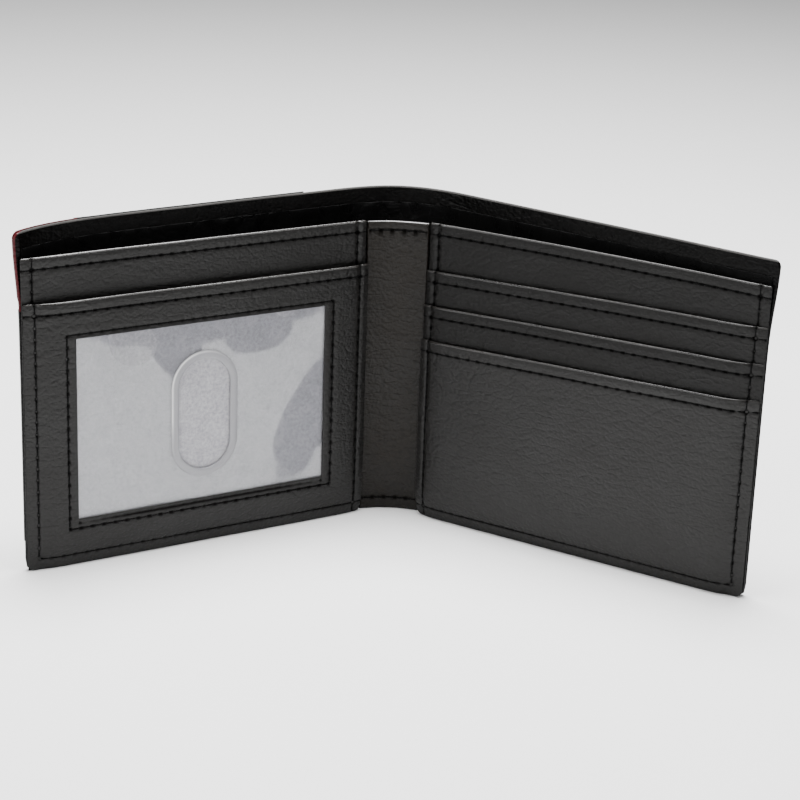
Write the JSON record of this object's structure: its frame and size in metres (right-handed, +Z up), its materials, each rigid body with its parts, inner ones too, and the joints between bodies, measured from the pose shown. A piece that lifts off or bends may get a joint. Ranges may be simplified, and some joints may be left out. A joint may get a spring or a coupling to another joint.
{
  "type": "bifold wallet",
  "caption": "Open bifold wallet in black leather with stepped card pockets, a clear ID window over a paper insert and a banknote compartment.",
  "frame": {"origin": "middle of the wallet's footprint, on the surface that it stands on, with the wallet half open", "axes": "+Z up along the fold lines, +X towards the card pocket half, the inner faces look towards -Y and the spine is towards +Y"},
  "size_m": [0.1938, 0.0702, 0.0912],
  "materials": {
    "inner_leather": "satin grained",
    "spine_leather": "satin grained, slightly brown",
    "shell_leather": "satin grained",
    "overlay_leather": "satin grained",
    "accent_leather": "satin grained dark red",
    "note_lining": "slightly glossy woven lining",
    "pocket_fabric": "woven lining",
    "clear_vinyl": "clear, glossy",
    "insert_paper": "matt pale grey",
    "thread": "black sewing thread"
  },
  "bodies": {
    "spine": {"spine_strip": "spine_leather", "spine_shell": "shell_leather", "spine_lining": "note_lining", "spine_top_stitching": "thread", "spine_bottom_stitching": "thread"},
    "left_half": {"left_shell": "shell_leather", "left_shell_overlay": "overlay_leather", "left_shell_accent": "accent_leather", "left_lining": "note_lining", "left_divider": "note_lining", "left_base_panel": "inner_leather", "left_slot_edges": "inner_leather", "id_pocket_back": "pocket_fabric", "id_pocket_edges": "inner_leather", "id_frame": "inner_leather", "id_window": "clear_vinyl", "left_border_stitching": "thread", "left_seam_stitching": "thread", "left_hem_stitching": "thread", "id_hem_stitching": "thread", "id_window_stitching": "thread", "left_shell_stitching": "thread"},
    "right_half": {"right_shell": "shell_leather", "right_lining": "note_lining", "right_divider": "note_lining", "right_base_panel": "inner_leather", "upper_pocket_face": "inner_leather", "upper_pocket_tail": "pocket_fabric", "upper_pocket_edges": "inner_leather", "middle_pocket_face": "inner_leather", "middle_pocket_tail": "pocket_fabric", "middle_pocket_edges": "inner_leather", "lower_pocket_face": "inner_leather", "lower_pocket_edges": "inner_leather", "right_border_stitching": "thread", "right_seam_stitching": "thread", "right_hem_stitching": "thread", "upper_hem_stitching": "thread", "middle_hem_stitching": "thread", "lower_hem_stitching": "thread", "right_shell_stitching": "thread"},
    "id_insert": {"id_insert": "insert_paper"}
  },
  "joints": [
    {"name": "left_fold", "type": "hinge", "parent": "spine", "child": "left_half", "pos_m": [-0.0084, 0.01983, 0], "axis": [0, 0, 1], "range_deg": [-31, 61]},
    {"name": "right_fold", "type": "hinge", "parent": "spine", "child": "right_half", "pos_m": [0.0084, 0.01983, 0], "axis": [0, 0, -1], "range_deg": [-31, 61]},
    {"name": "insert_slide", "type": "slide", "parent": "left_half", "child": "id_insert", "axis": [0, 0, 1], "range_m": [0, 0.075]}
  ]
}
